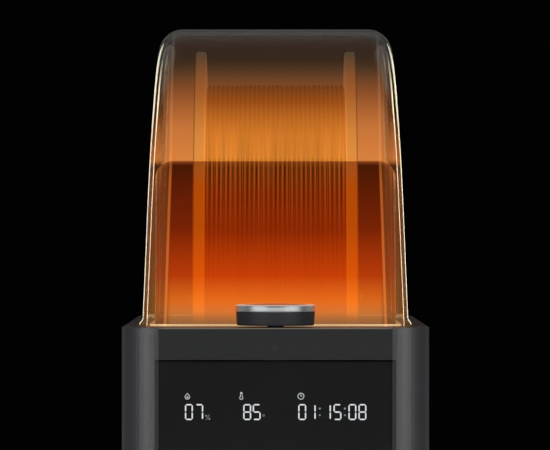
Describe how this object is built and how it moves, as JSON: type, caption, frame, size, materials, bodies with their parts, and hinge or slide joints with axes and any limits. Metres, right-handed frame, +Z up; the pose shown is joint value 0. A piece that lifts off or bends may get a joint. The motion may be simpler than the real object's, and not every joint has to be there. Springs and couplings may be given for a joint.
{
  "type": "filament dryer box",
  "caption": "Heated dryer box for a filament spool: tall narrow base with display and press knob, rollers, blower and heater inside, clear domed cover on a rear hinge.",
  "frame": {"origin": "centre of the footprint, on the surface the feet stand on", "axes": "+Z up, the display and knob face -Y, +Y is the back with the mains inlet, +X is to the right seen from the front"},
  "size_m": [0.114, 0.28, 0.2496],
  "materials": {
    "housing_plastic": "fine matte moulded texture, dark graphite",
    "trim_plastic": "fine matte",
    "display_glass": "polished black window",
    "display_light": "lit white segments",
    "rubber": "soft matte",
    "steel": "bright zinc plated",
    "circuit_board": "green solder mask",
    "inner_plastic": "heat resistant dark plastic",
    "clear_cover": "clear, faintly warm, polished",
    "amber_guide": "translucent amber, polished",
    "roller_plastic": "hard smooth plastic",
    "spool_plastic": "semi gloss, warm lit",
    "filament": "glossy strand wound in even turns",
    "gasket": "translucent silicone",
    "heater_metal": "pressed fins",
    "knob_metal": "turned, brushed around the rim",
    "knob_plastic": "fine matte",
    "brass": "bright",
    "wire": "smooth insulation",
    "ribbon": "flat ribbon",
    "tube": "smooth white tube",
    "collet_blue": "smooth"
  },
  "bodies": {
    "base": {"base_side_left": "housing_plastic", "base_side_right": "housing_plastic", "base_deck": "housing_plastic", "hinge_deck": "housing_plastic", "base_rear_panel": "housing_plastic", "base_front_sill": "housing_plastic", "bottom_cover": "trim_plastic", "rubber_feet": "rubber", "bottom_screws": "steel", "front_trim": "trim_plastic", "status_light": "display_light", "display_glass": "display_glass", "display_digits": "display_light", "display_icons": "display_light", "display_module": "trim_plastic", "display_board": "circuit_board", "front_fascia": "trim_plastic", "main_board": "circuit_board", "power_supply": "circuit_board", "ribbon_cable": "ribbon", "mains_leads": "wire", "power_inlet": "trim_plastic", "switch_frame": "trim_plastic", "chamber_tub": "inner_plastic", "roller_cradle": "roller_plastic", "roller_axles": "steel", "blower_housing": "trim_plastic", "ptc_heater": "heater_metal", "heater_shroud": "inner_plastic", "rear_air_duct": "inner_plastic", "front_air_guide": "amber_guide", "lid_gasket": "gasket", "humidity_sensor": "circuit_board", "vent_grille": "trim_plastic", "outlet_coupler": "trim_plastic", "outlet_tube": "tube", "hinge_brackets": "housing_plastic", "hinge_pins": "steel", "encoder_body": "trim_plastic"},
    "cover": {"cover_shell": "clear_cover", "cover_hinge_lugs": "housing_plastic"},
    "knob_plunger": {"encoder_plunger": "brass"},
    "knob": {"knob_cap": "knob_metal", "knob_body": "knob_plastic", "encoder_shaft": "steel"},
    "spool": {"spool_flange_left": "spool_plastic", "spool_flange_right": "spool_plastic", "spool_hub": "spool_plastic", "filament": "filament"},
    "front_roller": {"front_roller": "roller_plastic", "front_roller_tyres": "rubber", "front_roller_bearings": "steel"},
    "rear_roller": {"rear_roller": "roller_plastic", "rear_roller_tyres": "rubber", "rear_roller_bearings": "steel"},
    "blower_rotor": {"blower_rotor": "trim_plastic"},
    "switch_rocker": {"switch_rocker": "knob_plastic"},
    "vent_shutter": {"vent_shutter": "knob_plastic"},
    "outlet_collet": {"outlet_collet": "collet_blue"}
  },
  "joints": [
    {"name": "cover_hinge", "type": "hinge", "parent": "base", "child": "cover", "pos_m": [0, 0.127, 0.14], "axis": [-1, 0, 0], "range_deg": [0, 95]},
    {"name": "knob_press", "type": "slide", "parent": "base", "child": "knob_plunger", "axis": [0, 0, -1], "range_m": [0, 0.0006], "stiffness_N_per_m": 800, "springref_m": -0.002},
    {"name": "knob_spin", "type": "hinge", "parent": "knob_plunger", "child": "knob", "pos_m": [0, -0.1249, 0.14], "axis": [0, 0, 1], "continuous": true},
    {"name": "spool_spin", "type": "hinge", "parent": "base", "child": "spool", "pos_m": [0, -0.001, 0.1412], "axis": [1, 0, 0], "continuous": true},
    {"name": "front_roller_spin", "type": "hinge", "parent": "base", "child": "front_roller", "pos_m": [0, -0.05325, 0.04293], "axis": [1, 0, 0], "continuous": true},
    {"name": "rear_roller_spin", "type": "hinge", "parent": "base", "child": "rear_roller", "pos_m": [0, 0.05125, 0.04293], "axis": [1, 0, 0], "continuous": true},
    {"name": "blower_spin", "type": "hinge", "parent": "base", "child": "blower_rotor", "pos_m": [0, 0.116, 0.066], "axis": [0, 1, 0], "continuous": true},
    {"name": "power_switch", "type": "hinge", "parent": "base", "child": "switch_rocker", "pos_m": [0.0125, 0.1345, 0.022], "axis": [-1, 0, 0], "range_deg": [0, 14]},
    {"name": "vent_slide", "type": "slide", "parent": "base", "child": "vent_shutter", "axis": [1, 0, 0], "range_m": [0, 0.006]},
    {"name": "collet_press", "type": "slide", "parent": "base", "child": "outlet_collet", "axis": [0, -1, 0], "range_m": [0, 0.0008]}
  ],
  "couplings": [
    {"joint": "front_roller_spin", "follows": "spool_spin", "ratio": -9.0909},
    {"joint": "rear_roller_spin", "follows": "spool_spin", "ratio": -9.0909}
  ]
}
